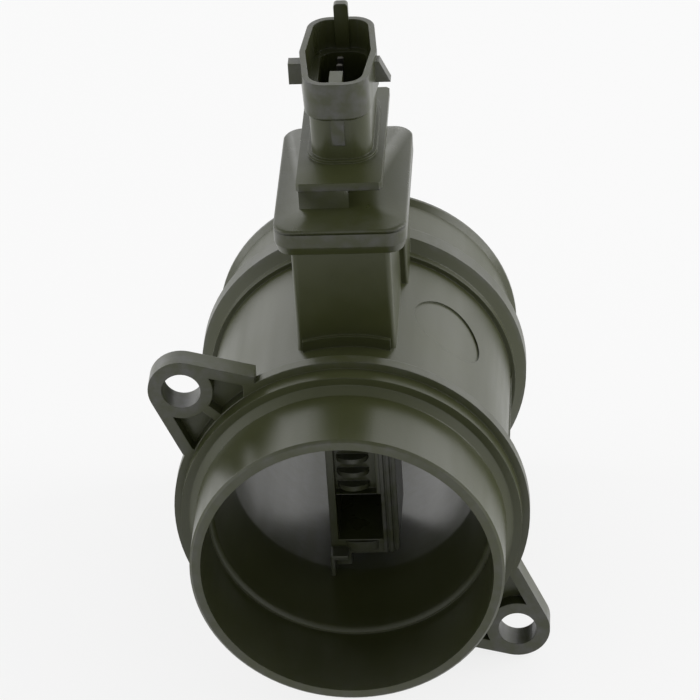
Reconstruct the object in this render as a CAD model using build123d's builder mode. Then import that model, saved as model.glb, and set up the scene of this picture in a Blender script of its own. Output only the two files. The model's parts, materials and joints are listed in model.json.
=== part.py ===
"""Mass airflow sensor: a moulded flow tube with a plug-in hot-film sensor module.

Frame, in mm: +Y runs along the tube from the inlet to the outlet, +Z points up along the
sensor tower, and the origin lies on the tube axis in the plane of the mounting flange.
"""
from build123d import *
from math import sqrt
import os

# ---------------------------------------------------------------- driving dimensions
# flow tube, outside
tube_r = 30.0
inlet_len = 20.3          # inlet rim to flange plane
outlet_len = 70.6         # flange plane to outlet rim
rim_edge = 0.5            # chamfer on the inlet rim's outer edge
pilot_h = 3.0             # raised ring that centres the flange in the air box
pilot_len = 3.3
pilot_root = 1.4          # sloping root between pilot ring and inlet spigot
flange_h = 4.5            # flange above the tube
flange_t = 2.4
stop_y = 47.5             # shoulder of the hose stop ring near the outlet
stop_step_h = 0.95
stop_step_len = 1.6
stop_h = 3.1
stop_slope_len = 1.8
stop_t = 3.7
hose_lip_h = 0.85         # hose lip at the outlet rim
hose_lip_slope_len = 1.3
hose_lip_len = 0.7
parting_w = 0.5           # mould parting ridge on both sides of the body
parting_h = 0.25

# flow tube, inside
spigot_wall = 2.1
mouth_y = -1.8            # step where the nozzle begins
mouth_step = 1.1
mouth_edge = 0.7          # chamfer on the nozzle's lip
throat_y = 15.4
throat_step = 3.3         # how much narrower the throat is than the inlet bore
duct_wall = 1.6           # wall of the inner measuring duct
duct_end = 58.0
core_y = 20.0             # bottom of the ring-shaped core between the two walls
core_ribs = 8
core_rib_t = 1.4

# mounting ears
ear_reach = 7.75          # from the flange's edge to the bolt
bolt_hole_r = 3.75
bolt_boss_r = 5.2         # boss behind the ear
bolt_boss_len = 0.9
ear_angle = 137.4         # first ear, from +X towards +Z
ear_count = 2
ear_r = 6.4
ear_t = 4.5
ear_root_in = 1.4         # root corner on the ear's fuller side, inside the flange's edge
ear_root_half = 11.1
ear_step_in = 0.84        # root corner on the other side, which steps down to the flange
ear_step_half = 11.64
ear_step_foot = 6.1
ear_wall = 2.3
ear_boss_r = 6.1
ear_rib_t = 1.8
ear_pocket_depth = 2.7
ear_pocket_gap = 0.15     # between the pilot ring and a pocket

# tower on the tube
tower_half = 9.5
tower_y0 = 13.3
tower_y1 = 51.4
tower_corner_r = 1.1
tower_rear_half = 10.9    # wider rear part of the tower
tower_rear_y = 38.3
saddle_h = 2.3            # raised foot of the tower's front wall, above the tube
saddle_half = 8.5
saddle_step = 0.7
pad_half = 12.7
pad_y0 = 12.35
pad_y1 = 52.8
pad_corner_r = 3.8
pad_z0 = 50.0
pad_z1 = 55.1
pad_under = 2.3           # slope under the pad, made of two steps
label_r = 8.0             # bare round recess on the body
label_angle = 40.0        # from the top, towards +X
label_y = 29.0
label_depth = 0.3

# sensor module: neck, blade and plate
fit = 0.15                # clearance of the module in the tube
neck_half = 7.8
neck_y0 = 15.7
neck_y1 = 48.8
neck_corner_r = 1.2
blade_x0 = -5.9
blade_seam_x = 4.6        # plane where the covers meet the blade
blade_x1 = 7.8
blade_y1 = 47.4
blade_gap = 3.9           # from the blade's lower end to the duct's floor
plate_t = 0.9
plate_edge = 0.35
seal_w = 2.0
seal_h = 2.0
seal_gap = 0.05           # between the seal and the neck

# bypass channel in the blade
inlet_x0 = -4.4
inlet_floor = 3.3         # floor of the channel above the blade's lower end
inlet_h = 10.8
channel_y1 = 38.0
channel_upper_h = 6.0     # height of the channel's upper run
channel_wall = 6.4        # between its lower and upper run, at the turn
channel_taper = 2.2       # how much the lower run narrows
channel_turn_y = 31.5
channel_back_y = 21.0
channel_corner_r = 4.5
channel_small_r = 1.2
rear_core_y0 = 40.2
rear_core_wall = 1.9
trough_depth = 2.3        # recess in the blade's front above the inlet
trough_x1 = 3.8
trough_h = 18.8
fin_count = 6             # curved guide fins in the trough
fin_first = 0.7           # lowest fin above the inlet
fin_pitch = 3.2
fin_t = 1.1
fin_x = -0.75
fin_half = 3.15
lip_x = 0.3               # curved lip under the inlet
lip_half = 3.2
lip_reach = 0.9
lip_drop = 0.2            # below the channel's floor
lip_t = 1.9
foot_x1 = -2.0
foot_len = 3.2
foot_h = 2.7

# covers on the blade
cover_wall = 1.5
cover_above = 4.4         # height of the channel cover above the channel
cover_gap = 0.2
cover_round = 2.0
cover_groove_w = 0.5
cover_groove_d = 0.5
outlet_win_y0 = 22.2
outlet_win_len = 5.4
outlet_win_h = 4.4
ecover_y0 = 17.4
ecover_y1 = 47.0
ecover_z1 = 50.0

# electronics
chamber_x0 = -1.0
chamber_y0 = 19.2
chamber_y1 = 47.2
chamber_floor = 2.4       # above the joint of the two covers
chamber_z1 = 48.4
base_t = 1.0
base_margin = 1.2         # base plate inside the chamber
base_z1 = 44.4
board_t = 0.7
board_margin = 1.0        # board inside the base plate
board_z0 = 20.2
chip_side = 7.2
chip_t = 1.2
chip_y = 30.5
chip_z = 33.0
cap_len = 2.4
cap_wide = 1.4
cap_t = 1.1
cap_y = 39.0
cap_z = (25.0, 31.0, 37.0)
holder_t = 1.0
holder_w = 5.0
holder_y = 28.6
holder_up = 7.8           # part of the holder on the base plate
holder_down = 5.0         # part of it in the channel
sensor_t = 0.5
sensor_w = 2.2
sensor_h = 4.0
sensor_down = 2.7         # centre of the sensor below the channel's roof
slot_gap = 0.2            # clearance of the holder in the channel's roof

# temperature sensor under the blade
bead_r = 0.95
bead_len = 2.4
bead_edge = 0.35
bead_y = 34.5
bead_down = 1.6           # below the blade
lead_r = 0.25
lead_sides = 8            # the wire is drawn with flat sides
lead_reach = 2.6          # lead to bead centre, along the tube
lead_x = -0.65
lead_root = 1.6           # length of lead inside the blade

# connector
slab_x = -0.15            # centre of the slab and the block
slab_half = 8.25
slab_y0 = 20.9
slab_y1 = 58.7
slab_t = 1.65
slab_z1 = 61.4
slab_corner = 0.6
block_inset = 0.45        # block inside the slab's outline
block_y1 = 51.0
block_cut_x = 1.6         # right edge of the block's front part
block_cut_len = 5.5
conn_x = -0.3
stem_half = 5.9
stem_y0 = 29.2
stem_y1 = 54.6
stem_corner_r = 4.4
stem_foot_w = 0.8         # low ridge round the stem's foot
stem_foot_h = 0.6
shell_z0 = 70.6
shell_z1 = 78.7
shell_half = 7.5
shell_y0 = 28.2
shell_mid_y = 42.0
shell_y1 = 56.0
shell_front_half = 5.9
shell_rear_half = 6.2
shell_front_r = 4.6
shell_rear_r = 4.5
shell_wall = 1.15
shell_foot = 0.7
socket_floor = 65.2
socket_wall = 1.4         # wall of the socket inside the stem
key_half = 1.25
key_len = 5.6
key_drop = 0.6
tongue_half = 1.4
tongue_t = 1.6
tongue_top = 82.3
tab_y = 40.2
tab_t = 2.6
tab_z0 = 73.3
tab_z1 = 77.7
tab_reach = 2.1
ramp_reach = 2.5
ramp_top = 0.5

# terminals
pin_count = 4
pin_pitch = 3.0
pin_first_y = 37.4
pin_w = 1.2
pin_t = 0.64
pin_top = 75.0
pin_bottom = 45.4
pin_tip = 0.2
pin_fit = 0.05            # clearance of a terminal in its slot

# ---------------------------------------------------------------- derived places
plate_z1 = pad_z1 + plate_t
slab_z0 = slab_z1 - slab_t
neck_centre_y = (neck_y0 + neck_y1) / 2
bore_r = tube_r - spigot_wall
pilot_r = tube_r + pilot_h
flange_r = tube_r + flange_h
bolt_circle_r = flange_r + ear_reach
stop_step_r = tube_r + stop_step_h
stop_r = tube_r + stop_h
hose_lip_r = tube_r + hose_lip_h
saddle_r = tube_r + saddle_h
mouth_r = bore_r - mouth_step
throat_r = bore_r - throat_step
neck_z0 = sqrt(throat_r**2 - neck_half**2)
blade_z0 = blade_gap - throat_r
inlet_z0 = blade_z0 + inlet_floor
inlet_z1 = inlet_z0 + inlet_h
channel_neck = inlet_z1 - channel_taper
channel_mid = channel_neck + channel_wall
channel_top = channel_mid + channel_upper_h
cover_split_z = channel_top + cover_above
chamber_z0 = cover_split_z + chamber_floor
bead_z = blade_z0 - bead_down
pin_ys = [pin_first_y + i * pin_pitch for i in range(pin_count)]

os.makedirs("parts", exist_ok=True)


def save(piece, label):
    """Label a finished piece and write its STEP file."""
    piece.part.label = label
    export_step(piece.part, f"parts/{label}.step")


# ---------------------------------------------------------------- label field
with BuildPart() as label_field:
    # a thin round skin of the body, taken off later to leave a bare shallow recess
    with BuildSketch(Plane.XY):
        with Locations((0, label_y)):
            Circle(label_r)
    extrude(amount=tube_r + 1)
    with BuildSketch(Plane.XZ):
        Circle(tube_r - label_depth)
    extrude(amount=-stop_y, mode=Mode.SUBTRACT)


# ---------------------------------------------------------------- flow tube
def ear_outline():
    """One ear in its own axes: X points from the tube axis to the bolt."""
    with BuildSketch() as outline:
        with Locations((bolt_circle_r, 0)):
            Circle(ear_r)
        with BuildLine():
            Polyline(
                (tube_r - ear_root_in, -ear_step_foot), (flange_r - ear_step_in, -ear_step_half),
                (flange_r - ear_root_in, ear_root_half), (tube_r - ear_root_in, ear_root_half),
                close=True,
            )
        make_face()
        make_hull()
    return outline.sketch


def ear_pockets():
    """The two blind pockets between the bolt boss, the ear's walls and the pilot ring."""
    with BuildSketch() as pockets:
        add(ear_outline())
        offset(amount=-ear_wall, kind=Kind.INTERSECTION)
        with Locations((bolt_circle_r, 0)):
            Circle(ear_boss_r, mode=Mode.SUBTRACT)
        Circle(pilot_r + ear_pocket_gap, mode=Mode.SUBTRACT)
        with Locations((bolt_circle_r / 2, 0)):
            Rectangle(bolt_circle_r, ear_rib_t, mode=Mode.SUBTRACT)
    return pockets.sketch


def rounded_box(x0, x1, y0, y1, corner):
    """A rounded rectangle between two x and two y values, for the current sketch."""
    with Locations(((x0 + x1) / 2, (y0 + y1) / 2)):
        RectangleRounded(x1 - x0, y1 - y0, corner)


with BuildPart() as tube_housing:
    # body, flange, pilot ring, hose stop and lip, turned about the tube axis
    with BuildSketch(Plane.YZ):
        with BuildLine():
            Polyline(
                (-inlet_len, 0), (-inlet_len, tube_r - rim_edge), (-inlet_len + rim_edge, tube_r),
                (-pilot_len - pilot_root, tube_r), (-pilot_len, tube_r + pilot_root), (-pilot_len, pilot_r),
                (0, pilot_r), (0, flange_r), (flange_t, flange_r), (flange_t, tube_r),
                (stop_y, tube_r), (stop_y, stop_step_r), (stop_y + stop_step_len, stop_step_r),
                (stop_y + stop_step_len + stop_slope_len, stop_r),
                (stop_y + stop_step_len + stop_slope_len + stop_t, stop_r),
                (stop_y + stop_step_len + stop_slope_len + stop_t, tube_r),
                (outlet_len - hose_lip_len - hose_lip_slope_len, tube_r),
                (outlet_len - hose_lip_len, hose_lip_r), (outlet_len, hose_lip_r), (outlet_len, 0),
                close=True,
            )
        make_face()
    revolve(axis=Axis.Y)

    # ears with their bolt holes
    with BuildSketch(Plane.XZ):
        with PolarLocations(0, ear_count, start_angle=ear_angle):
            add(ear_outline())
    extrude(amount=-ear_t)
    with BuildSketch(Plane.XZ):
        with PolarLocations(0, ear_count, start_angle=ear_angle):
            add(ear_pockets())
    extrude(amount=-ear_pocket_depth, mode=Mode.SUBTRACT)
    with BuildSketch(Plane.XZ.offset(-ear_t)):
        with PolarLocations(bolt_circle_r, ear_count, start_angle=ear_angle):
            Circle(bolt_boss_r)
    extrude(amount=-bolt_boss_len)
    with BuildSketch(Plane.XZ):
        with PolarLocations(bolt_circle_r, ear_count, start_angle=ear_angle):
            Circle(bolt_hole_r)
    extrude(amount=-(ear_t + bolt_boss_len), mode=Mode.SUBTRACT)

    # bare round label field on the upper right of the body
    add(label_field.part.rotate(Axis.Y, label_angle), mode=Mode.SUBTRACT)

    # parting ridges along both sides of the body
    with Locations((0, (flange_t + stop_y) / 2, 0)):
        Box(2 * (tube_r + parting_h), stop_y - flange_t, parting_w)

    # pad that carries the sensor module, drawn in underneath in two slopes
    for rise, inset in ((0, pad_under), (pad_under / 4, pad_under / 4), (pad_under, 0)):
        with BuildSketch(Plane.XY.offset(pad_z0 + rise)):
            rounded_box(
                -pad_half + inset, pad_half - inset, pad_y0 + inset, pad_y1 - inset, pad_corner_r - inset,
            )
    loft(ruled=True)
    with BuildSketch(Plane.XY.offset(pad_z0 + pad_under)):
        rounded_box(-pad_half, pad_half, pad_y0, pad_y1, pad_corner_r)
    extrude(amount=pad_z1 - pad_z0 - pad_under)

    # tower, its wider rear part and the foot of its front wall
    with BuildSketch(Plane.XY):
        rounded_box(-tower_half, tower_half, tower_y0, tower_y1, tower_corner_r)
        rounded_box(-tower_rear_half, tower_rear_half, tower_rear_y, tower_y1, tower_corner_r / 2)
    extrude(amount=pad_z0 + pad_under)
    with BuildSketch(Plane.XZ.offset(-(tower_y0 - saddle_step))):
        Circle(saddle_r)
        with Locations((0, saddle_r)):
            Rectangle(2 * saddle_half, 2 * saddle_r, mode=Mode.INTERSECT)
    extrude(amount=-2 * saddle_step)

    # air way: inlet bore, nozzle, throat and diffuser
    with BuildSketch(Plane.YZ):
        with BuildLine():
            Polyline(
                (-inlet_len, 0), (-inlet_len, bore_r),
                (mouth_y, bore_r), (mouth_y, mouth_r + mouth_edge), (mouth_y + mouth_edge, mouth_r),
                (throat_y, throat_r), (outlet_len, throat_r), (outlet_len, 0), close=True,
            )
        make_face()
    revolve(axis=Axis.Y, mode=Mode.SUBTRACT)

    # ring-shaped core between the outer wall and the measuring duct, open at the outlet
    with BuildSketch(Plane.XZ.offset(-outlet_len)):
        Circle(bore_r)
        Circle(throat_r + duct_wall, mode=Mode.SUBTRACT)
        with PolarLocations(0, core_ribs, start_angle=180 / core_ribs):
            Rectangle(tube_r, core_rib_t, align=(Align.MIN, Align.CENTER), mode=Mode.SUBTRACT)
        with Locations((0, tube_r)):
            Rectangle(2 * tower_rear_half, 2 * tube_r, mode=Mode.SUBTRACT)
    extrude(amount=outlet_len - core_y, mode=Mode.SUBTRACT)
    with BuildSketch(Plane.XZ.offset(-outlet_len)):
        Circle(bore_r)
    extrude(amount=outlet_len - duct_end, mode=Mode.SUBTRACT)

    # well for the module's neck and the rebate for its seal
    with BuildSketch(Plane.XY):
        rounded_box(-neck_half - fit, neck_half + fit, neck_y0 - fit, neck_y1 + fit, neck_corner_r)
    extrude(amount=pad_z1, mode=Mode.SUBTRACT)
    with BuildSketch(Plane.XY.offset(pad_z1)):
        grow = fit + seal_w
        rounded_box(
            -neck_half - grow, neck_half + grow, neck_y0 - grow, neck_y1 + grow, neck_corner_r + seal_w,
        )
    extrude(amount=-seal_h, mode=Mode.SUBTRACT)
save(tube_housing, "tube_housing")


# ---------------------------------------------------------------- sensor module
def channel_outline(front_y):
    """Side view of the bypass channel: in at the front, up at the rear and forward again."""
    with BuildSketch() as outline:
        with BuildLine():
            Polyline(
                (front_y, inlet_z0), (channel_y1, inlet_z0), (channel_y1, channel_top),
                (channel_back_y, channel_top), (channel_back_y, channel_mid),
                (channel_turn_y, channel_mid), (channel_turn_y, channel_neck),
                (front_y, inlet_z1), close=True,
            )
        make_face()
        corners = outline.vertices()
        fillet(corners.filter_by(lambda v: abs(v.X - channel_y1) < 0.01), channel_corner_r)
        fillet(outline.vertices().filter_by(
            lambda v: abs(v.X - channel_turn_y) < 0.01 or abs(v.X - channel_back_y) < 0.01), channel_small_r)
    return outline.sketch


with BuildPart() as module_carrier:
    # blade, neck and plate
    with BuildSketch(Plane.XY.offset(blade_z0)):
        with Locations(((blade_x0 + blade_x1) / 2, (neck_y0 + blade_y1) / 2)):
            Rectangle(blade_x1 - blade_x0, blade_y1 - neck_y0)
    extrude(amount=neck_z0 - blade_z0)
    with BuildSketch(Plane.XY.offset(neck_z0)):
        rounded_box(-neck_half, neck_half, neck_y0, neck_y1, neck_corner_r)
    extrude(amount=pad_z1 - neck_z0)
    with BuildSketch(Plane.XY.offset(pad_z1)):
        rounded_box(-pad_half, pad_half, pad_y0, pad_y1, pad_corner_r)
    extrude(amount=plate_t)
    chamfer(module_carrier.faces().sort_by(Axis.Z)[-1].edges(), plate_edge)

    # block that joins the plate to the connector, narrower at the front
    with BuildSketch(Plane.XY.offset(plate_z1)):
        block_x0 = slab_x - slab_half + block_inset
        block_x1 = slab_x + slab_half - block_inset
        with BuildLine():
            Polyline(
                (block_x0, slab_y0), (block_cut_x, slab_y0), (block_cut_x, slab_y0 + block_cut_len),
                (block_x1, slab_y0 + 2 * block_cut_len), (block_x1, block_y1), (block_x0, block_y1),
                close=True,
            )
        make_face()
    extrude(amount=slab_z0 - plate_z1)

    # seats of the two covers
    with BuildSketch(Plane.YZ.offset(blade_seam_x)):
        with Locations((neck_y0 - cover_gap, blade_z0 - cover_gap)):
            Rectangle(blade_y1 - neck_y0 + 2 * cover_gap, cover_split_z - blade_z0 + cover_gap,
                      align=(Align.MIN, Align.MIN))
        with Locations((ecover_y0, cover_split_z)):
            Rectangle(ecover_y1 - ecover_y0, ecover_z1 - cover_split_z, align=(Align.MIN, Align.MIN))
    extrude(amount=blade_x1 - blade_seam_x + fit, mode=Mode.SUBTRACT)

    # trough with curved guide fins in the blade's front, and the curved lip under the inlet
    with BuildSketch(Plane.XZ.offset(-neck_y0)):
        with Locations((inlet_x0, inlet_z1)):
            Rectangle(trough_x1 - inlet_x0, trough_h, align=(Align.MIN, Align.MIN))
    extrude(amount=-trough_depth, mode=Mode.SUBTRACT)
    for number in range(fin_count):
        with BuildSketch(Plane.XY.offset(inlet_z1 + fin_first + number * fin_pitch)):
            with Locations((fin_x, neck_y0 + trough_depth)):
                Ellipse(fin_half, trough_depth)
        extrude(amount=fin_t)
    with BuildSketch(Plane.XY.offset(inlet_z0 - lip_drop)):
        with Locations((lip_x, neck_y0)):
            Ellipse(lip_half, lip_reach)
    extrude(amount=-lip_t)

    # bypass channel, lightening core and electronics chamber, all open to the covers
    with BuildSketch(Plane.YZ.offset(inlet_x0)):
        add(channel_outline(neck_y0))
        rounded_box(
            rear_core_y0, blade_y1 - rear_core_wall, inlet_z0, cover_split_z - rear_core_wall,
            channel_small_r,
        )
    extrude(amount=blade_seam_x - inlet_x0, mode=Mode.SUBTRACT)
    with BuildSketch(Plane.YZ.offset(chamber_x0)):
        rounded_box(chamber_y0, chamber_y1, chamber_z0, chamber_z1, channel_small_r)
    extrude(amount=blade_seam_x - chamber_x0, mode=Mode.SUBTRACT)

    # slot between chamber and channel for the sensor holder
    with BuildSketch(Plane.XY.offset(channel_top - channel_small_r)):
        with Locations((chamber_x0 + base_t + holder_t / 2, holder_y)):
            Rectangle(holder_t + 2 * slot_gap, holder_w + 2 * slot_gap)
    extrude(amount=chamber_z0 + channel_small_r - (channel_top - channel_small_r), mode=Mode.SUBTRACT)

    # foot under the blade's front edge
    with BuildSketch(Plane.XY.offset(blade_z0)):
        with Locations((blade_x0, neck_y0)):
            Rectangle(foot_x1 - blade_x0, foot_len, align=(Align.MIN, Align.MIN))
    extrude(amount=-foot_h)

    # holes for the temperature sensor's leads and slots for the terminals
    with BuildSketch(Plane.XY.offset(blade_z0)):
        with Locations((lead_x, bead_y - lead_reach), (lead_x, bead_y + lead_reach)):
            Circle(lead_r + pin_fit)
    extrude(amount=lead_root, mode=Mode.SUBTRACT)
    with BuildSketch(Plane.XY.offset(slab_z0)):
        with Locations(*[(conn_x, y) for y in pin_ys]):
            Rectangle(pin_w + 2 * pin_fit, pin_t + 2 * pin_fit)
    extrude(amount=-(slab_z0 - chamber_z1 + channel_small_r), mode=Mode.SUBTRACT)
save(module_carrier, "module_carrier")


with BuildPart() as channel_cover:
    with BuildSketch(Plane.YZ.offset(blade_seam_x)):
        with Locations((neck_y0, blade_z0)):
            Rectangle(blade_y1 - neck_y0, cover_split_z - cover_gap - blade_z0, align=(Align.MIN, Align.MIN))
    extrude(amount=blade_x1 - blade_seam_x)
    outer = channel_cover.faces().sort_by(Axis.X)[-1]
    fillet(outer.edges().sort_by(Axis.Z)[0], cover_round)
    # the channel is deepened into the cover, closed at the front
    with BuildSketch(Plane.YZ.offset(blade_seam_x)):
        add(channel_outline(neck_y0))
        offset(amount=-cover_wall / 2)
    extrude(amount=blade_x1 - blade_seam_x - cover_wall, mode=Mode.SUBTRACT)
    # side window where the air leaves the channel
    with BuildSketch(Plane.YZ.offset(blade_seam_x)):
        with Locations((outlet_win_y0, channel_top - cover_wall / 2)):
            Rectangle(outlet_win_len, outlet_win_h, align=(Align.MIN, Align.MAX))
    extrude(amount=blade_x1 - blade_seam_x, mode=Mode.SUBTRACT)
    # two upright grooves in the front edge
    with BuildSketch(Plane.XY.offset(blade_z0)):
        with Locations(
            (blade_seam_x + 2 * cover_groove_w, neck_y0), (blade_x1 - 2 * cover_groove_w, neck_y0),
        ):
            Rectangle(cover_groove_w, 2 * cover_groove_d)
    extrude(amount=cover_split_z - blade_z0, mode=Mode.SUBTRACT)
save(channel_cover, "channel_cover")


with BuildPart() as electronics_cover:
    with BuildSketch(Plane.YZ.offset(blade_seam_x)):
        with Locations((ecover_y0 + cover_gap, cover_split_z)):
            Rectangle(ecover_y1 - ecover_y0 - 2 * cover_gap, ecover_z1 - cover_split_z - cover_gap,
                      align=(Align.MIN, Align.MIN))
    extrude(amount=blade_x1 - blade_seam_x)
    with BuildSketch(Plane.YZ.offset(blade_seam_x)):
        rounded_box(chamber_y0, chamber_y1 - cover_wall, chamber_z0, chamber_z1, channel_small_r)
    extrude(amount=blade_x1 - blade_seam_x - cover_wall, mode=Mode.SUBTRACT)
save(electronics_cover, "electronics_cover")


# ---------------------------------------------------------------- electronics
base_y0 = chamber_y0 + base_margin
base_y1 = chamber_y1 - base_margin
base_z0 = chamber_z0 + base_margin
board_x0 = chamber_x0 + base_t
chip_x0 = board_x0 + board_t

with BuildPart() as base_plate:
    with BuildSketch(Plane.YZ.offset(chamber_x0)):
        rounded_box(base_y0, base_y1, base_z0, base_z1, channel_small_r)
    extrude(amount=base_t)
save(base_plate, "base_plate")

with BuildPart() as circuit_board:
    with BuildSketch(Plane.YZ.offset(board_x0)):
        with Locations(((base_y0 + base_y1) / 2, (board_z0 + base_z1 - board_margin) / 2)):
            Rectangle(base_y1 - base_y0 - 2 * board_margin, base_z1 - board_margin - board_z0)
    extrude(amount=board_t)
save(circuit_board, "circuit_board")

with BuildPart() as signal_chip:
    with BuildSketch(Plane.YZ.offset(chip_x0)):
        with Locations((chip_y, chip_z)):
            Rectangle(chip_side, chip_side)
    extrude(amount=chip_t)
    chamfer(signal_chip.faces().sort_by(Axis.X)[-1].edges(), chip_t / 6)
save(signal_chip, "signal_chip")

for number, height in enumerate(cap_z, start=1):
    with BuildPart() as capacitor:
        with BuildSketch(Plane.YZ.offset(chip_x0)):
            with Locations((cap_y, height)):
                Rectangle(cap_len, cap_wide)
        extrude(amount=cap_t)
        chamfer(capacitor.faces().sort_by(Axis.X)[-1].edges(), cap_t / 8)
    save(capacitor, f"capacitor_{number}")

with BuildPart() as sensor_holder:
    with BuildSketch(Plane.YZ.offset(board_x0)):
        with Locations((holder_y, channel_top - holder_down)):
            Rectangle(
                holder_w, base_z0 + holder_up - channel_top + holder_down, align=(Align.CENTER, Align.MIN),
            )
    extrude(amount=holder_t)
    fillet(sensor_holder.edges().filter_by(Axis.X).group_by(Axis.Z)[0], holder_w / 5)
save(sensor_holder, "sensor_holder")

with BuildPart() as sensor_chip:
    with BuildSketch(Plane.YZ.offset(board_x0 + holder_t)):
        with Locations((holder_y, channel_top - sensor_down)):
            Rectangle(sensor_w, sensor_h)
    extrude(amount=sensor_t)
save(sensor_chip, "sensor_chip")

with BuildPart() as temperature_sensor:
    # one bent wire with square corners and flat sides, and a bevelled bead on its middle
    with BuildLine() as wire:
        Polyline(
            (lead_x, bead_y - lead_reach, blade_z0 + lead_root), (lead_x, bead_y - lead_reach, bead_z),
            (lead_x, bead_y + lead_reach, bead_z), (lead_x, bead_y + lead_reach, blade_z0 + lead_root),
        )
    with BuildSketch(Plane.XY.offset(blade_z0 + lead_root)):
        with Locations((lead_x, bead_y - lead_reach)):
            RegularPolygon(lead_r, lead_sides)
    sweep(path=wire.line, transition=Transition.RIGHT)
    with BuildSketch(Plane.XZ.offset(-(bead_y - bead_len / 2))):
        with Locations((lead_x, bead_z)):
            Circle(bead_r)
    extrude(amount=-bead_len)
    rings = temperature_sensor.edges().filter_by(GeomType.CIRCLE)
    chamfer(rings.filter_by(lambda e: abs(e.radius - bead_r) < 0.01), bead_edge)
save(temperature_sensor, "temperature_sensor")

with BuildPart() as module_seal:
    with BuildSketch(Plane.XY.offset(pad_z1 - seal_h)):
        rounded_box(-neck_half - seal_w, neck_half + seal_w, neck_y0 - seal_w, neck_y1 + seal_w,
                    neck_corner_r + seal_w)
        with Locations((0, neck_centre_y)):
            RectangleRounded(
                2 * (neck_half + seal_gap), neck_y1 - neck_y0 + 2 * seal_gap, neck_corner_r,
                mode=Mode.SUBTRACT,
            )
    extrude(amount=seal_h)
save(module_seal, "module_seal")


# ---------------------------------------------------------------- connector
def shell_outline():
    """Plan of the plug collar: narrower at the front, square at the rear."""
    with BuildSketch() as outline:
        with BuildLine():
            Polyline(
                (conn_x - shell_front_half, shell_y0), (conn_x + shell_front_half, shell_y0),
                (conn_x + shell_half, shell_mid_y), (conn_x + shell_rear_half, shell_y1),
                (conn_x - shell_rear_half, shell_y1), (conn_x - shell_half, shell_mid_y), close=True,
            )
        make_face()
        fillet(outline.vertices().group_by(Axis.Y)[0], shell_front_r)
        fillet(outline.vertices().group_by(Axis.Y)[-1], shell_rear_r)
    return outline.sketch


with BuildPart() as connector_housing:
    # collar with its bevelled lower edge
    with BuildSketch(Plane.XY.offset(shell_z0)):
        add(shell_outline())
    extrude(amount=shell_z1 - shell_z0)
    chamfer(connector_housing.faces().sort_by(Axis.Z)[0].edges(), shell_foot)

    # stem, the low ridge round its foot and the slab
    with BuildSketch(Plane.XY.offset(slab_z1)):
        rounded_box(-stem_half, stem_half, stem_y0, stem_y1, stem_corner_r)
    extrude(amount=shell_z0 + shell_foot - slab_z1)
    with BuildSketch(Plane.XY.offset(slab_z1)):
        rounded_box(-stem_half - stem_foot_w, stem_half + stem_foot_w, stem_y0 - stem_foot_w,
                    stem_y1 + stem_foot_w, stem_corner_r + stem_foot_w)
    extrude(amount=stem_foot_h)
    with BuildSketch(Plane.XY.offset(slab_z0)):
        with Locations((slab_x, (slab_y0 + slab_y1) / 2)):
            Rectangle(2 * slab_half, slab_y1 - slab_y0)
        chamfer(vertices(), slab_corner)
    extrude(amount=slab_t)

    # plug cavity in the collar and in the stem
    with BuildSketch(Plane.XY.offset(shell_z0 + shell_foot + shell_wall)):
        add(shell_outline())
        offset(amount=-shell_wall)
    extrude(amount=shell_z1 - shell_z0, mode=Mode.SUBTRACT)
    with BuildSketch(Plane.XY.offset(socket_floor)):
        rounded_box(-stem_half + socket_wall, stem_half - socket_wall, stem_y0 + socket_wall,
                    stem_y1 - socket_wall, stem_corner_r - socket_wall)
    extrude(amount=shell_z1 - socket_floor, mode=Mode.SUBTRACT)

    # coding rib inside the front wall
    with BuildSketch(Plane.XY.offset(socket_floor)):
        with Locations((conn_x, shell_y0 + shell_wall / 2)):
            Rectangle(2 * key_half, key_len + shell_wall / 2, align=(Align.CENTER, Align.MIN))
    extrude(amount=shell_z1 - key_drop - socket_floor)

    # upright tongue on the rear wall
    with BuildSketch(Plane.XZ.offset(-shell_y1)):
        with Locations((conn_x, tongue_top)):
            Rectangle(2 * tongue_half, tongue_top - shell_z0 - shell_foot, align=(Align.CENTER, Align.MAX))
        fillet(vertices().group_by(Axis.Y)[-1], tongue_half / 2)
    extrude(amount=tongue_t)

    # latch wedge on the right and stop tab on the left
    with BuildSketch(Plane.XZ.offset(-(tab_y - tab_t / 2))):
        with BuildLine():
            Polyline(
                (conn_x + shell_half - shell_wall, tab_z0), (conn_x + shell_half + ramp_reach, tab_z0),
                (conn_x + shell_half + ramp_top, tab_z1), (conn_x + shell_half - shell_wall, tab_z1),
                close=True,
            )
        make_face()
        with Locations((conn_x - shell_half - tab_reach, tab_z0)):
            Rectangle(tab_reach + shell_wall, tab_z1 - tab_z0, align=(Align.MIN, Align.MIN))
    extrude(amount=-tab_t)

    # slots for the terminals
    with BuildSketch(Plane.XY.offset(slab_z0)):
        with Locations(*[(conn_x, y) for y in pin_ys]):
            Rectangle(pin_w + 2 * pin_fit, pin_t + 2 * pin_fit)
    extrude(amount=socket_floor - slab_z0, mode=Mode.SUBTRACT)
save(connector_housing, "connector_housing")


# ---------------------------------------------------------------- terminals
for number, place in enumerate(pin_ys, start=1):
    with BuildPart() as terminal:
        with Locations((conn_x, place, pin_bottom)):
            Box(pin_w, pin_t, pin_top - pin_bottom, align=(Align.CENTER, Align.CENTER, Align.MIN))
        chamfer(terminal.faces().sort_by(Axis.Z)[-1].edges(), pin_tip)
    save(terminal, f"terminal_{number}")
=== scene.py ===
"""Looks of a mass airflow sensor: moulded dark plastics, studio light and the camera."""
import json
import math

import bmesh
import bpy
from mathutils import Matrix, Vector


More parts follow.
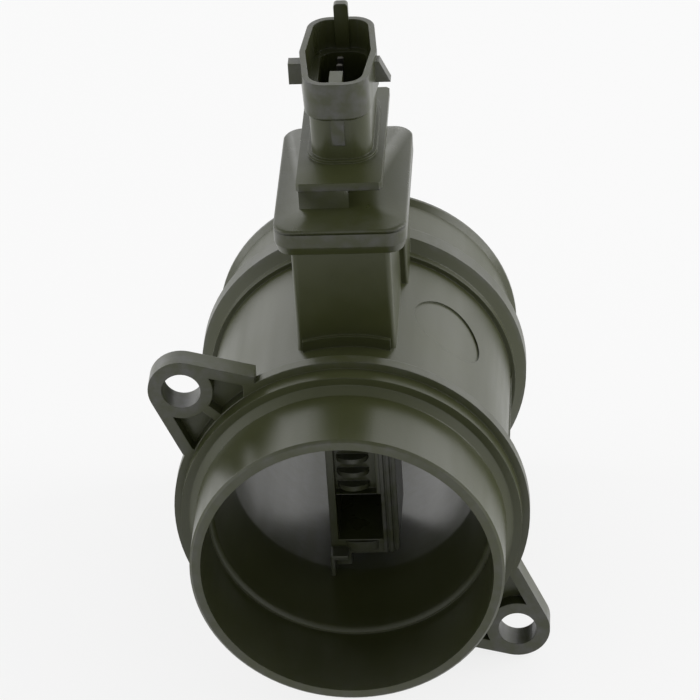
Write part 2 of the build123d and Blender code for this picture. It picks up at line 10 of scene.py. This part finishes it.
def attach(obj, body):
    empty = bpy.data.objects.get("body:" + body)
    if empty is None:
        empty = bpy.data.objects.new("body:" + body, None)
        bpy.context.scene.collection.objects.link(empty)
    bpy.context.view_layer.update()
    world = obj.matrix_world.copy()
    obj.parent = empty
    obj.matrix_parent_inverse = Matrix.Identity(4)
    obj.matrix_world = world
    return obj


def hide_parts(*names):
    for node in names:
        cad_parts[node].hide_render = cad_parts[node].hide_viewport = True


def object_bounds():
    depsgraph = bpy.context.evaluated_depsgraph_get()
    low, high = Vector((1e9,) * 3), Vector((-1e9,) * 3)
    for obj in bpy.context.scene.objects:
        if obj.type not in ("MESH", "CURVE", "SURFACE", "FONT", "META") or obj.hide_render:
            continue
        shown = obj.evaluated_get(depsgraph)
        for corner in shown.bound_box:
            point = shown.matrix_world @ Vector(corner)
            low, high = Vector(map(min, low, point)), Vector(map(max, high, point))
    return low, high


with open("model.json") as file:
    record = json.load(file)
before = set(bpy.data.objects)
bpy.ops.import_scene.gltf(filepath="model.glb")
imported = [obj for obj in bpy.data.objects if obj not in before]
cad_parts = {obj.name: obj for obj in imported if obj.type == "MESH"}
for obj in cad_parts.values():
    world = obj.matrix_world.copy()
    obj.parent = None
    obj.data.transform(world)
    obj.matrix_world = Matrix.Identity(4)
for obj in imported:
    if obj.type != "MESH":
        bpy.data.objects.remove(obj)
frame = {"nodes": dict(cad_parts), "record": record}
nodes = frame["nodes"]
cad_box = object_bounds()
slots = {entry["node"]: entry["material_slot"] for entry in frame["record"]["subparts"]}
scene = bpy.context.scene
scene.view_settings.view_transform = "Standard"

# ---------------------------------------------------------------- camera
IMAGE_PX = 700
FOCAL_PX = 4194.5
SENSOR_MM = 36.0
SHIFT = (-0.0005, -0.0009)
CLIP = (0.01, 20)
CAMERA_PLACE = Vector((0.0578, -0.6690, 0.4593))
CAMERA_RIGHT = Vector((0.9972, 0.0481, -0.0561))
CAMERA_UP = Vector((0.0217, 0.5347, 0.8447))


def add_camera():
    """A long lens above and in front of the inlet, slightly rolled."""
    data = bpy.data.cameras.new("camera")
    data.sensor_width = SENSOR_MM
    data.lens = SENSOR_MM * FOCAL_PX / IMAGE_PX
    data.shift_x, data.shift_y = SHIFT
    data.clip_start, data.clip_end = CLIP
    camera = bpy.data.objects.new("camera", data)
    scene.collection.objects.link(camera)
    right = CAMERA_RIGHT.normalized()
    back = right.cross(CAMERA_UP).normalized()
    up = back.cross(right)
    turn = Matrix((right, up, back)).transposed()
    camera.matrix_world = Matrix.Translation(CAMERA_PLACE) @ turn.to_4x4()
    scene.camera = camera


# ---------------------------------------------------------------- material nodes
class Nodes:
    """Short calls for building one material's node tree."""

    def __init__(self, name):
        self.material = bpy.data.materials.new(name)
        self.material.use_nodes = True
        self.tree = self.material.node_tree
        self.shader = self.tree.nodes["Principled BSDF"]
        self.place = self.add("ShaderNodeTexCoord").outputs["Object"]

    def add(self, kind, **values):
        node = self.tree.nodes.new(kind)
        for key, value in values.items():
            setattr(node, key, value)
        return node

    def link(self, a, b):
        self.tree.links.new(a, b)

    def noise(self, scale, detail=3.0, stretch=(1, 1, 1)):
        """Noise over the object's own place, in features per metre."""
        source = self.place
        if stretch != (1, 1, 1):
            mapping = self.add("ShaderNodeMapping")
            mapping.inputs["Scale"].default_value = stretch
            self.link(source, mapping.inputs["Vector"])
            source = mapping.outputs["Vector"]
        node = self.add("ShaderNodeTexNoise")
        node.inputs["Scale"].default_value = scale
        node.inputs["Detail"].default_value = detail
        self.link(source, node.inputs["Vector"])
        return node.outputs["Fac"]

    def radius(self):
        """Distance from the tube's axis."""
        parts = self.add("ShaderNodeSeparateXYZ")
        self.link(self.place, parts.inputs["Vector"])
        square = [self.math("MULTIPLY", parts.outputs[axis], parts.outputs[axis]) for axis in "XZ"]
        return self.math("SQRT", self.math("ADD", *square), 0)

    def span(self, value, low, high, new_low, new_high):
        """value from low..high moved to new_low..new_high."""
        node = self.add("ShaderNodeMapRange")
        node.inputs["From Min"].default_value = low
        node.inputs["From Max"].default_value = high
        node.inputs["To Min"].default_value = new_low
        node.inputs["To Max"].default_value = new_high
        self.link(value, node.inputs["Value"])
        return node.outputs["Result"]

    def math(self, operation, a, b):
        node = self.add("ShaderNodeMath", operation=operation)
        for socket, value in zip(node.inputs, (a, b)):
            if isinstance(value, (int, float)):
                socket.default_value = value
            else:
                self.link(value, socket)
        return node.outputs["Value"]

    def blend(self, amount, a, b):
        """Colours a to b by amount."""
        node = self.add("ShaderNodeMix", data_type="RGBA")
        self.link(amount, node.inputs["Factor"])
        for socket, value in ((node.inputs[6], a), (node.inputs[7], b)):
            if isinstance(value, tuple):
                socket.default_value = (*value, 1)
            else:
                self.link(value, socket)
        return node.outputs[2]

    def bump(self, height, distance, strength, under=None):
        """A bumped normal; distance is the height in metres, under the normal below it."""
        node = self.add("ShaderNodeBump")
        node.inputs["Strength"].default_value = strength
        node.inputs["Distance"].default_value = distance
        self.link(height, node.inputs["Height"])
        if under is not None:
            self.link(under, node.inputs["Normal"])
        return node.outputs["Normal"]


# ---------------------------------------------------------------- finishes
# noise scales, in features per metre
CLOUDS = 55
STREAKS = 260
GRAINS = 3200
SPECKS = 1500
RUB_HIGHLIGHT_PATCHES = 420
METAL_MARKS = 2500
METAL_PATCHES = 180
# ranges of a noise's values over which a colour or gloss changes
SOFT = (0.35, 0.65)
UNEVEN = (0.35, 0.7)
FULL = (0.3, 0.7)
# bump heights, in metres
STREAK_HEIGHT = 0.00004
GRAIN_HEIGHT = 0.00003
MARK_HEIGHT = 0.00002
FINE_STRENGTH = 0.4

MOTTLE = 1.2                      # the plastic's lighter clouds against its base colour
RUB_HIGHLIGHT_EDGE = (0.52, 0.62)        # Pointiness from nearly flat to an edge that shows wear and a painted highlight
RUB_HIGHLIGHT_AMOUNT = (0.1, 0.9)               # least and most wear and painted highlight along an edge
METAL_DARK = 0.8                  # the metal's darker patches against its colour
RUB_HIGHLIGHT_COLOUR = (0.075, 0.075, 0.072)      # colour of edges lightened by wear and partly by a painted edge highlight
HOUSING = (0.034, 0.038, 0.013)
HOUSING_ROUGH = (0.28, 0.38)
MODULE = (0.032, 0.036, 0.012)
MODULE_ROUGH = (0.26, 0.36)
MODULE_GRAIN = 0.8
# the tinned pins' colour, darkened as painted shade from the socket's walls
TERMINAL_PAINTED_SHADE = (0.15, 0.145, 0.13)
EDGE_ROUND = 0.00025              # how far edges look rounded, in metres
BORE_ROUND = 0.0012               # the same inside the bore, whose nozzle has a soft lip
BORE_EDGE = (0.0272, 0.0276)      # distance from the axis over which one turns into the other
FLOW_Y = (1, 0.12, 1)             # marks drawn out along the tube
FLOW_Z = (1, 1, 0.12)             # marks drawn out along the tower


def moulded_plastic(name, base, rough, flow, grain=1.0, bore=None):
    """Glass-filled dark plastic: fine mould grain, flow marks, edges lightened by wear and partly
    as a painted highlight, and faint mottling.
    """
    n = Nodes(name)
    clouds = n.noise(CLOUDS, 4)
    streaks = n.noise(STREAKS, 2, flow)
    grains = n.noise(GRAINS, 2)
    specks = n.noise(SPECKS, 1)
    # convex edges are painted lighter: partly wear, partly a painted edge highlight
    edge = n.span(n.add("ShaderNodeNewGeometry").outputs["Pointiness"], *RUB_HIGHLIGHT_EDGE, 0, 1)
    rub_and_highlight = n.math("MULTIPLY", edge, n.span(n.noise(RUB_HIGHLIGHT_PATCHES, 3), *UNEVEN, *RUB_HIGHLIGHT_AMOUNT))
    mottled = n.blend(n.span(clouds, *SOFT, 0, 1), base, tuple(c * MOTTLE for c in base))
    n.link(n.blend(rub_and_highlight, mottled, RUB_HIGHLIGHT_COLOUR), n.shader.inputs["Base Color"])
    mean = n.math("ADD", n.math("MULTIPLY", clouds, 0.5), n.math("MULTIPLY", streaks, 0.5))
    n.link(n.span(mean, *SOFT, *rough), n.shader.inputs["Roughness"])
    n.shader.inputs["IOR"].default_value = 1.5
    soft = n.add("ShaderNodeBevel", samples=4)
    soft.inputs["Radius"].default_value = EDGE_ROUND
    if bore is not None:
        n.link(n.span(n.radius(), *BORE_EDGE, bore, EDGE_ROUND), soft.inputs["Radius"])
    flowed = n.bump(streaks, STREAK_HEIGHT, 0.25 * grain, soft.outputs["Normal"])
    grained = n.bump(grains, GRAIN_HEIGHT, 0.5 * grain, flowed)
    n.link(n.bump(specks, GRAIN_HEIGHT, 0.3 * grain, grained), n.shader.inputs["Normal"])
    return n.material


def metal(name, colour, rough, brush):
    """Plated or rolled metal with fine marks along one way."""
    n = Nodes(name)
    marks = n.noise(METAL_MARKS, 3, brush)
    patches = n.noise(METAL_PATCHES, 3)
    dark = tuple(c * METAL_DARK for c in colour)
    n.shader.inputs["Metallic"].default_value = 1.0
    n.link(n.blend(n.span(patches, *UNEVEN, 0, 1), colour, dark), n.shader.inputs["Base Color"])
    n.link(n.span(marks, *FULL, *rough), n.shader.inputs["Roughness"])
    n.link(n.bump(marks, MARK_HEIGHT, FINE_STRENGTH), n.shader.inputs["Normal"])
    return n.material


def simple(name, base, other, rough, scale, coat=0.0):
    """A small hidden part's finish: mottled colour, uneven gloss and a fine surface."""
    n = Nodes(name)
    fine = n.noise(scale, 3)
    mottled = n.blend(n.span(n.noise(scale / 6, 3), *SOFT, 0, 1), base, other)
    n.link(mottled, n.shader.inputs["Base Color"])
    n.link(n.span(fine, *FULL, *rough), n.shader.inputs["Roughness"])
    n.link(n.bump(fine, GRAIN_HEIGHT, FINE_STRENGTH), n.shader.inputs["Normal"])
    n.shader.inputs["Coat Weight"].default_value = coat
    return n.material


FINISHES = {
    "housing_plastic": moulded_plastic(
        "housing_plastic", HOUSING, HOUSING_ROUGH, FLOW_Y, bore=BORE_ROUND),
    "module_plastic": moulded_plastic(
        "module_plastic", MODULE, MODULE_ROUGH, FLOW_Z, MODULE_GRAIN),
    "cover_plastic": moulded_plastic(
        "cover_plastic", MODULE, MODULE_ROUGH, FLOW_Z, MODULE_GRAIN),
    "base_aluminium": metal("base_aluminium", (0.78, 0.79, 0.8), (0.28, 0.45), (1, 1, 0.03)),
    # terminals darkened: painted shade
    "terminal_metal": metal("terminal_metal", TERMINAL_PAINTED_SHADE, (0.35, 0.5), (1, 1, 0.05)),
    "board_ceramic": simple(
        "board_ceramic", (0.74, 0.75, 0.71), (0.66, 0.68, 0.64), (0.5, 0.7), 1800),
    "chip_epoxy": simple(
        "chip_epoxy", (0.017, 0.017, 0.019), (0.026, 0.026, 0.028), (0.55, 0.75), 4000),
    "capacitor_body": simple(
        "capacitor_body", (0.42, 0.29, 0.17), (0.34, 0.23, 0.14), (0.35, 0.5), 3000),
    "sensor_silicon": simple(
        "sensor_silicon", (0.07, 0.08, 0.11), (0.11, 0.1, 0.14), (0.08, 0.16), 900),
    "bead_coating": simple(
        "bead_coating", (0.2, 0.07, 0.03), (0.26, 0.1, 0.04), (0.12, 0.25), 1200, coat=0.5),
    "seal_rubber": simple(
        "seal_rubber", (0.014, 0.014, 0.014), (0.022, 0.022, 0.022), (0.6, 0.8), 2600),
}


def dress_nodes():
    """Gives every CAD node its own finish."""
    for name, slot_name in slots.items():
        for slot in nodes[name].material_slots:
            slot.material = FINISHES[slot_name]


# ---------------------------------------------------------------- the blade's measuring end
MM = 0.001
BLADE_END = 40.1          # the lower blade's rear face; the core behind it is taken off
COVER_END = 34.0          # where the cover's outer face begins to slant
SLANT_X = 4.0
BLADE_SIDE = 7.8
BLADE_STEP_Z = 7.7        # above it the blade keeps the length that its electronics need
CUT_SIDE = 12.0           # the cutter reaches past the blade by these three
CUT_REAR = 60.0
CUT_LOW = -28.0
DUCT_TOP = 24.0           # below it the small ribs and fins keep flat faces
MERGE_M = 1e-6            # vertices this close are one, in metres
SHARP_ANGLE = math.radians(30)


def mesh_object(name, vertices, faces):
    """A new object in the scene, from vertices in millimetres."""
    mesh = bpy.data.meshes.new(name)
    mesh.from_pydata([[c * MM for c in v] for v in vertices], [], faces)
    made = bpy.data.objects.new(name, mesh)
    scene.collection.objects.link(made)
    return made


def prism(name, outline, low, high):
    """A closed solid from an outline in X and Y, between two heights, in millimetres."""
    count = len(outline)
    vertices = [(x, y, z) for z in (low, high) for x, y in outline]
    faces = [tuple(reversed(range(count))), tuple(range(count, 2 * count))]
    faces += [(i, (i + 1) % count, count + (i + 1) % count, count + i) for i in range(count)]
    return mesh_object(name, vertices, faces)


def shorten_blade(node_names):
    """Copies of the blade's pieces with a shorter measuring end; each stands for its node."""
    cutter = prism("blade_cutter", [
        (-CUT_SIDE, BLADE_END), (SLANT_X, BLADE_END), (BLADE_SIDE, COVER_END),
        (CUT_SIDE, COVER_END), (CUT_SIDE, CUT_REAR), (-CUT_SIDE, CUT_REAR),
    ], CUT_LOW, BLADE_STEP_Z)
    for name in node_names:
        source = nodes[name]
        mesh = source.data.copy()
        mesh.transform(source.matrix_world)
        work = bmesh.new()
        work.from_mesh(mesh)
        bmesh.ops.remove_doubles(work, verts=work.verts, dist=MERGE_M)
        work.to_mesh(mesh)
        work.free()
        piece = bpy.data.objects.new(name + "_short", mesh)
        scene.collection.objects.link(piece)
        cut = piece.modifiers.new("cut", "BOOLEAN")
        cut.solver = "EXACT"
        cut.operation = "DIFFERENCE"
        cut.object = cutter
        bpy.context.view_layer.update()
        evaluated = piece.evaluated_get(bpy.context.evaluated_depsgraph_get())
        result = bpy.data.meshes.new_from_object(evaluated)
        piece.modifiers.remove(cut)
        piece.data = result
        result.shade_smooth()
        result.set_sharp_from_angle(angle=SHARP_ANGLE)
        for face in result.polygons:
            face.use_smooth = face.center.z > DUCT_TOP * MM
        even = piece.modifiers.new("even_shading", "WEIGHTED_NORMAL")
        even.keep_sharp = True
        even.weight = 100
        result.materials.clear()
        result.materials.append(FINISHES[slots[name]])
        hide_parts(name)
        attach(piece, "root")
    bpy.data.objects.remove(cutter)


# ---------------------------------------------------------------- the guard under the blade
GUARD_X = (-5.9, -2.3)
GUARD_Y = (11.9, 15.7)
GUARD_Z = (-23.6, -18.8)  # its foot stays just inside the duct's wall
GUARD_WALL = 0.9
GUARD_ROOF = 1.0
GUARD_EDGE = 0.2


def add_lead_guard():
    """Small open guard at the blade's lower front corner: a side wall and a roof."""
    (left, right), (low, high) = GUARD_X, GUARD_Z
    outline = [
        (left, low), (left + GUARD_WALL, low), (left + GUARD_WALL, high - GUARD_ROOF),
        (right, high - GUARD_ROOF), (right, high), (left, high),
    ]
    count = len(outline)
    vertices = [(x, y, z) for y in GUARD_Y for x, z in outline]
    faces = [tuple(range(count)), tuple(reversed(range(count, 2 * count)))]
    faces += [(i, count + i, count + (i + 1) % count, (i + 1) % count) for i in range(count)]
    guard = mesh_object("lead_guard", vertices, faces)
    soft = guard.modifiers.new("rounded", "BEVEL")
    soft.width = GUARD_EDGE * MM
    soft.segments = 2
    guard.data.materials.append(FINISHES["module_plastic"])
    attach(guard, "root")


# ---------------------------------------------------------------- stage
FLOOR_SIZE = 3.0
FLOOR_COLOUR = (0.8, 0.8, 0.8, 1)
FLOOR_WHITE = 0.8         # the white's share in what the camera and mirrors see; the rest shades
# levels of the world's light, where 1 is white
WALL_LEVEL = 1.65         # behind the object
FRONT_LEVEL = 1.0
CEILING_LEVEL = 0.3
# parts of a direction between which those levels change
WALL_FROM = -0.5
WALL_TO = 0.3
CEILING_FROM = 0.3
CEILING_TO = 0.9
LAMP_AIM = (0, 0.02, 0.02)
LAMP_SIZE = (0.5, 0.8)
LAMPS = {                 # place and power
    "left_box": ((-0.9, 0.1, 0.45), 2.5),
    "right_box": ((0.9, 0.15, 0.45), 4.5),
}


def add_floor():
    """A pale floor under the lowest ear, nearly white to the camera and in mirrors."""
    low = cad_box[0][2]
    corners = [(-FLOOR_SIZE, -FLOOR_SIZE, low), (FLOOR_SIZE, -FLOOR_SIZE, low),
               (FLOOR_SIZE, FLOOR_SIZE, low), (-FLOOR_SIZE, FLOOR_SIZE, low)]
    mesh = bpy.data.meshes.new("floor")
    mesh.from_pydata(corners, [], [(0, 1, 2, 3)])
    floor = bpy.data.objects.new("floor", mesh)
    scene.collection.objects.link(floor)
    n = Nodes("floor_white")
    n.shader.inputs["Base Color"].default_value = FLOOR_COLOUR
    n.shader.inputs["Roughness"].default_value = 0.9
    n.shader.inputs["Specular IOR Level"].default_value = 0.0
    light = n.add("ShaderNodeEmission")
    light.inputs["Color"].default_value = (1, 1, 1, 1)
    mix = n.add("ShaderNodeMixShader")
    path = n.add("ShaderNodeLightPath").outputs
    mirrored = n.math("MAXIMUM", path["Is Glossy Ray"], path["Is Transmission Ray"])
    seen = n.math("MAXIMUM", path["Is Camera Ray"], mirrored)
    n.link(n.math("MULTIPLY", seen, FLOOR_WHITE), mix.inputs["Fac"])
    n.link(n.shader.outputs["BSDF"], mix.inputs[1])
    n.link(light.outputs["Emission"], mix.inputs[2])
    n.link(mix.outputs["Shader"], n.tree.nodes["Material Output"].inputs["Surface"])
    mesh.materials.append(n.material)


def add_world():
    """White in front, brighter behind and a dim ceiling; every kind of ray sees the same."""
    world = bpy.data.worlds.new("studio")
    world.use_nodes = True
    scene.world = world
    tree = world.node_tree
    add = tree.nodes.new
    link = tree.links.new
    way = add("ShaderNodeTexCoord")
    parts = add("ShaderNodeSeparateXYZ")
    link(way.outputs["Generated"], parts.inputs["Vector"])
    wall = add("ShaderNodeMapRange")
    wall.interpolation_type = "SMOOTHSTEP"
    wall.inputs["From Min"].default_value = WALL_FROM
    wall.inputs["From Max"].default_value = WALL_TO
    wall.inputs["To Min"].default_value = FRONT_LEVEL
    wall.inputs["To Max"].default_value = WALL_LEVEL
    link(parts.outputs["Y"], wall.inputs["Value"])
    height = add("ShaderNodeMapRange")
    height.interpolation_type = "SMOOTHSTEP"
    height.inputs["From Min"].default_value = CEILING_FROM
    height.inputs["From Max"].default_value = CEILING_TO
    link(parts.outputs["Z"], height.inputs["Value"])
    level = add("ShaderNodeMix")
    link(height.outputs["Result"], level.inputs["Factor"])
    link(wall.outputs["Result"], level.inputs["A"])
    level.inputs["B"].default_value = CEILING_LEVEL
    link(level.outputs["Result"], tree.nodes["Background"].inputs["Strength"])
    tree.nodes["Background"].inputs["Color"].default_value = (1, 1, 1, 1)


def add_lamp(name, place, power):
    """A soft rectangular lamp pointed at the object."""
    data = bpy.data.lights.new(name, "AREA")
    data.shape = "RECTANGLE"
    data.size, data.size_y = LAMP_SIZE
    data.energy = power
    lamp = bpy.data.objects.new(name, data)
    scene.collection.objects.link(lamp)
    lamp.location = place
    lamp.rotation_euler = (Vector(LAMP_AIM) - Vector(place)).to_track_quat("-Z", "Y").to_euler()


add_camera()
dress_nodes()
shorten_blade(("module_carrier", "channel_cover"))
add_lead_guard()
add_floor()
add_world()
for lamp_name, (lamp_place, lamp_power) in LAMPS.items():
    add_lamp(lamp_name, lamp_place, lamp_power)
